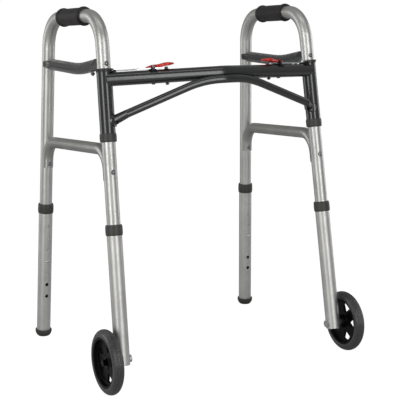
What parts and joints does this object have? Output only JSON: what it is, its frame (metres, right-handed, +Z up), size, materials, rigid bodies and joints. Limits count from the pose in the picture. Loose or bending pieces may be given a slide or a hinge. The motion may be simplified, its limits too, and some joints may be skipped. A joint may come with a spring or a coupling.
{
  "type": "folding walking frame",
  "caption": "Folding aluminium walking frame with two fixed front wheels, bowed crossbar with arched brace, side braces, hand grips and telescoping legs.",
  "frame": {"origin": "on the floor, under the middle of the outline", "axes": "+Z up; the front, with the crossbar and wheels, faces -Y; +X to the right as seen from the front. Nodes named left lie at -X and nodes named right at +X."},
  "size_m": [0.5502, 0.458, 0.6996],
  "materials": {
    "tube_aluminium": "satin anodised drawn tube with fine lengthwise grain",
    "extension_aluminium": "satin anodised drawn tube",
    "brace_aluminium": "satin grey tube",
    "charcoal_paint": "glossy dark charcoal powder coat over aluminium tube",
    "black_nylon": "moulded black nylon",
    "grey_plastic": "moulded dark grey plastic",
    "tip_rubber": "dark grey moulded rubber",
    "grip_vinyl": "brown-black dipped vinyl, slightly glossy",
    "red_plastic": "glossy red",
    "hub_plastic": "glossy black moulding",
    "tyre_rubber": "dark grey solid rubber",
    "bushing_nylon": "natural nylon",
    "button_steel": "plated",
    "plated_steel": "zinc plated"
  },
  "bodies": {
    "front_frame": {"crossbar": "charcoal_paint", "arch_brace": "charcoal_paint", "arch_rivets": "plated_steel", "latch_pins": "plated_steel", "spring_bolts": "plated_steel", "left_pivot_sleeve": "charcoal_paint", "left_sleeve_top_ring": "black_nylon", "left_sleeve_bottom_collar": "grey_plastic", "left_latch_bracket": "grey_plastic", "left_release_spring": "plated_steel", "right_pivot_sleeve": "charcoal_paint", "right_sleeve_top_ring": "black_nylon", "right_sleeve_bottom_collar": "grey_plastic", "right_latch_bracket": "grey_plastic", "right_release_spring": "plated_steel"},
    "left_side": {"left_side_tube": "tube_aluminium", "left_hand_grip": "grip_vinyl", "left_upper_brace": "charcoal_paint", "left_lower_brace": "brace_aluminium", "left_side_fasteners": "plated_steel", "left_lock_ring": "black_nylon", "left_snap_springs": "plated_steel"},
    "left_release": {"left_release_lever": "plated_steel", "left_release_paddle": "red_plastic"},
    "left_rear_leg": {"left_rear_extension": "extension_aluminium", "left_rear_collar": "grey_plastic", "left_rear_tip": "tip_rubber"},
    "left_front_leg": {"left_front_extension": "extension_aluminium", "left_front_collar": "grey_plastic", "left_axle_bolt": "plated_steel", "left_axle_spacer": "grey_plastic"},
    "left_rear_button": {"left_rear_button": "button_steel"},
    "left_front_button": {"left_front_button": "button_steel"},
    "left_wheel": {"left_wheel_hub": "hub_plastic", "left_tyre": "tyre_rubber", "left_wheel_bushing": "bushing_nylon"},
    "right_side": {"right_side_tube": "tube_aluminium", "right_hand_grip": "grip_vinyl", "right_upper_brace": "charcoal_paint", "right_lower_brace": "brace_aluminium", "right_side_fasteners": "plated_steel", "right_lock_ring": "black_nylon", "right_snap_springs": "plated_steel"},
    "right_release": {"right_release_lever": "plated_steel", "right_release_paddle": "red_plastic"},
    "right_rear_leg": {"right_rear_extension": "extension_aluminium", "right_rear_collar": "grey_plastic", "right_rear_tip": "tip_rubber"},
    "right_front_leg": {"right_front_extension": "extension_aluminium", "right_front_collar": "grey_plastic", "right_axle_bolt": "plated_steel", "right_axle_spacer": "grey_plastic"},
    "right_rear_button": {"right_rear_button": "button_steel"},
    "right_front_button": {"right_front_button": "button_steel"},
    "right_wheel": {"right_wheel_hub": "hub_plastic", "right_tyre": "tyre_rubber", "right_wheel_bushing": "bushing_nylon"}
  },
  "joints": [
    {"name": "left_fold", "type": "hinge", "parent": "front_frame", "child": "left_side", "pos_m": [-0.22437, -0.08879, 0.51987], "axis": [-0.023, -0.1701, -0.9852], "range_deg": [0, 85]},
    {"name": "left_release_press", "type": "hinge", "parent": "front_frame", "child": "left_release", "pos_m": [-0.13589, -0.09973, 0.5904], "axis": [0.2102, 0.9634, -0.1664], "range_deg": [0, 2.5], "stiffness_Nm_per_rad": 1.4, "springref_deg": -5.73, "deforming": ["left_release_spring"]},
    {"name": "left_front_leg_slide", "type": "slide", "parent": "left_side", "child": "left_front_leg", "axis": [-0.023, -0.1701, -0.9852], "range_m": [-0.0762, 0.0762]},
    {"name": "left_rear_leg_slide", "type": "slide", "parent": "left_side", "child": "left_rear_leg", "axis": [-0.0311, 0.0453, -0.9985], "range_m": [-0.0762, 0.0762]},
    {"name": "left_front_button_press", "type": "slide", "parent": "left_front_leg", "child": "left_front_button", "axis": [0.0402, -0.9848, 0.1691], "range_m": [0, 0.004], "stiffness_N_per_m": 600, "springref_m": -0.004},
    {"name": "left_rear_button_press", "type": "slide", "parent": "left_rear_leg", "child": "left_rear_button", "axis": [-0.0344, 0.9983, 0.0464], "range_m": [0, 0.004], "stiffness_N_per_m": 600, "springref_m": -0.004},
    {"name": "left_wheel_spin", "type": "hinge", "parent": "left_front_leg", "child": "left_wheel", "pos_m": [-0.23508, -0.16803, 0.061], "axis": [1, 0, 0], "continuous": true},
    {"name": "right_fold", "type": "hinge", "parent": "front_frame", "child": "right_side", "pos_m": [0.22437, -0.08879, 0.51987], "axis": [-0.023, 0.1701, 0.9852], "range_deg": [0, 67]},
    {"name": "right_release_press", "type": "hinge", "parent": "front_frame", "child": "right_release", "pos_m": [0.13589, -0.09973, 0.5904], "axis": [0.2102, -0.9634, 0.1664], "range_deg": [0, 2.5], "stiffness_Nm_per_rad": 1.4, "springref_deg": -5.73, "deforming": ["right_release_spring"]},
    {"name": "right_front_leg_slide", "type": "slide", "parent": "right_side", "child": "right_front_leg", "axis": [0.023, -0.1701, -0.9852], "range_m": [-0.0762, 0.0762]},
    {"name": "right_rear_leg_slide", "type": "slide", "parent": "right_side", "child": "right_rear_leg", "axis": [0.0311, 0.0453, -0.9985], "range_m": [-0.0762, 0.0762]},
    {"name": "right_front_button_press", "type": "slide", "parent": "right_front_leg", "child": "right_front_button", "axis": [-0.0402, -0.9848, 0.1691], "range_m": [0, 0.004], "stiffness_N_per_m": 600, "springref_m": -0.004},
    {"name": "right_rear_button_press", "type": "slide", "parent": "right_rear_leg", "child": "right_rear_button", "axis": [0.0344, 0.9983, 0.0464], "range_m": [0, 0.004], "stiffness_N_per_m": 600, "springref_m": -0.004},
    {"name": "right_wheel_spin", "type": "hinge", "parent": "right_front_leg", "child": "right_wheel", "pos_m": [0.23508, -0.16803, 0.061], "axis": [1, 0, 0], "continuous": true}
  ]
}
